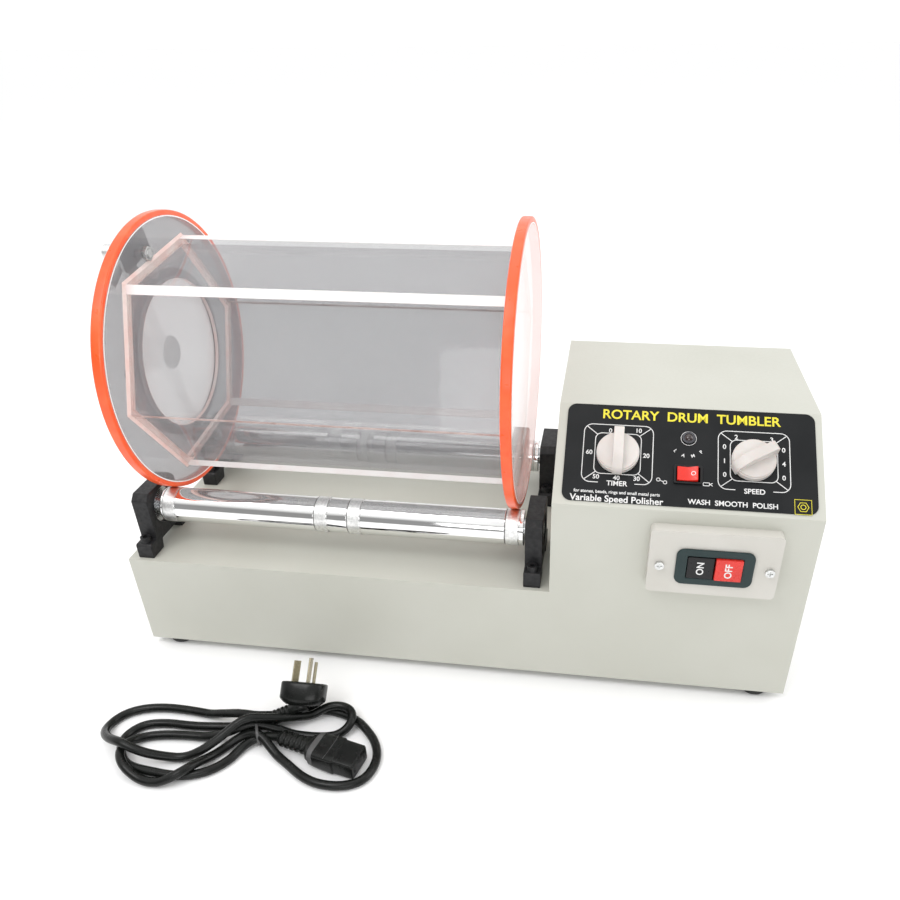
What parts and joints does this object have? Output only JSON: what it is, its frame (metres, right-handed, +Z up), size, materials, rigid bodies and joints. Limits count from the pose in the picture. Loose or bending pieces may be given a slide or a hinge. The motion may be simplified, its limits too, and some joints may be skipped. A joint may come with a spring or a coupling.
{
  "type": "rotary tumbler",
  "caption": "Rotary tumbler: clear six-sided barrel between orange-rimmed discs, turned on two chromed rollers by a sheet-metal base with a control box and a mains lead.",
  "frame": {"origin": "on the table, half-way along the housing and below the drum's axis", "axes": "+X along the machine towards its control box, +Y away from the operator, +Z up"},
  "size_m": [0.56, 0.3695, 0.3616],
  "materials": {
    "housing_paint": "fine satin powder coat",
    "bracket_metal": "semi-gloss enamel",
    "steel": "zinc plated and machined steel",
    "roller_chrome": "polished hard chrome",
    "block_black": "black satin paint on cast iron",
    "black_plastic": "fine moulded texture",
    "label_black": "printed polyester film",
    "ivory_plastic": "moulded, soft gloss",
    "bezel_plastic": "moulded, semi-gloss",
    "red_plastic": "moulded, gloss",
    "lamp_red": "unlit indicator lens",
    "grey_plastic": "moulded, satin",
    "rubber_black": "matte",
    "rim_urethane": "glossy cast urethane",
    "clear_acrylic": "clear, polished",
    "belt_rubber": "matte",
    "copper_brown": "varnished winding and laminations",
    "wire_blue": "insulated wire",
    "cord_black": "soft glossy PVC"
  },
  "bodies": {
    "base": {"housing_shell": "housing_paint", "bottom_plate": "housing_paint", "rear_panel": "housing_paint", "case_screws": "steel", "rubber_feet": "rubber_black", "foot_fixings": "steel", "bearing_blocks": "block_black", "block_fixings": "block_black", "bearing_outer_rings": "steel", "control_label": "label_black", "lamp_bezel": "steel", "lamp_lens": "lamp_red", "rocker_frame": "black_plastic", "timer_body": "grey_plastic", "speed_switch_body": "black_plastic", "switch_cover": "ivory_plastic", "switch_bezel": "bezel_plastic", "push_switch_body": "black_plastic", "motor_body": "bracket_metal", "motor_bracket": "steel", "motor_screws": "steel", "speed_transformer": "copper_brown", "wiring_harness": "wire_blue", "inlet_socket": "black_plastic", "inlet_pins": "steel", "drive_belt": "belt_rubber", "cord_hank": "cord_black", "cord_tube": "cord_black", "mains_connector": "cord_black", "mains_plug": "cord_black", "plug_pins": "steel", "cord_tie": "black_plastic"},
    "front_roller_unit": {"front_roller": "roller_chrome", "front_shaft": "steel", "front_inner_rings": "steel"},
    "rear_roller_unit": {"rear_roller": "roller_chrome", "rear_shaft": "steel", "rear_inner_rings": "steel", "driven_pulley": "bracket_metal"},
    "motor_rotor": {"motor_shaft": "steel", "motor_pulley": "bracket_metal"},
    "drum": {"left_disc": "clear_acrylic", "right_disc": "clear_acrylic", "barrel_panels": "clear_acrylic", "left_rim": "rim_urethane", "right_rim": "rim_urethane", "lid_plate": "clear_acrylic", "lid_gasket": "rubber_black", "clamp_posts": "steel", "post_plates": "steel", "post_nuts": "steel"},
    "clamp_arm": {"clamp_bar": "steel"},
    "clamp_pad": {"pressure_pad": "rubber_black"},
    "clamp_handwheel": {"clamp_screw": "steel", "clamp_knob": "grey_plastic"},
    "timer_dial": {"timer_knob": "ivory_plastic"},
    "speed_dial": {"speed_knob": "ivory_plastic"},
    "power_rocker": {"rocker_button": "red_plastic"},
    "on_push": {"on_button": "black_plastic"},
    "off_push": {"off_button": "red_plastic"}
  },
  "joints": [
    {"name": "drum_spin", "type": "hinge", "parent": "base", "child": "drum", "pos_m": [-0.0985, 0, 0.24617], "axis": [1, 0, 0], "continuous": true},
    {"name": "front_roller_spin", "type": "hinge", "parent": "base", "child": "front_roller_unit", "pos_m": [-0.0975, -0.062, 0.131], "axis": [1, 0, 0], "continuous": true},
    {"name": "rear_roller_spin", "type": "hinge", "parent": "base", "child": "rear_roller_unit", "pos_m": [-0.0975, 0.062, 0.131], "axis": [1, 0, 0], "continuous": true},
    {"name": "motor_spin", "type": "hinge", "parent": "base", "child": "motor_rotor", "pos_m": [0.105, 0.018, 0.062], "axis": [1, 0, 0], "continuous": true},
    {"name": "clamp_swing", "type": "hinge", "parent": "drum", "child": "clamp_arm", "pos_m": [-0.262, -0.02116, 0.3357], "axis": [1, 0, 0], "range_deg": [0, 70]},
    {"name": "pad_slide", "type": "slide", "parent": "clamp_arm", "child": "clamp_pad", "axis": [-1, 0, 0], "range_m": [0, 0.002]},
    {"name": "knob_turn", "type": "hinge", "parent": "clamp_pad", "child": "clamp_handwheel", "pos_m": [-0.275, 0, 0.24617], "axis": [-1, 0, 0], "range_deg": [0, 576]},
    {"name": "timer_turn", "type": "hinge", "parent": "base", "child": "timer_dial", "pos_m": [0.1297, -0.06542, 0.20556], "axis": [0, 0.5944, -0.8042], "range_deg": [0, 300]},
    {"name": "speed_turn", "type": "hinge", "parent": "base", "child": "speed_dial", "pos_m": [0.2292, -0.06542, 0.20556], "axis": [0, 0.5944, -0.8042], "range_deg": [-210, 90]},
    {"name": "rocker_tilt", "type": "hinge", "parent": "base", "child": "power_rocker", "pos_m": [0.1822, -0.076, 0.19649], "axis": [0, 0.8042, 0.5944], "range_deg": [0, 14]},
    {"name": "on_press", "type": "slide", "parent": "base", "child": "on_push", "axis": [0, 1, 0], "range_m": [0, 0.003], "stiffness_N_per_m": 200},
    {"name": "off_press", "type": "slide", "parent": "base", "child": "off_push", "axis": [0, 1, 0], "range_m": [0, 0.003], "stiffness_N_per_m": 200}
  ],
  "couplings": [
    {"joint": "front_roller_spin", "follows": "drum_spin", "ratio": -7.7},
    {"joint": "rear_roller_spin", "follows": "drum_spin", "ratio": -7.7},
    {"joint": "motor_spin", "follows": "drum_spin", "ratio": -20.783},
    {"joint": "pad_slide", "follows": "knob_turn", "m_per_rad": 0.00019894}
  ]
}
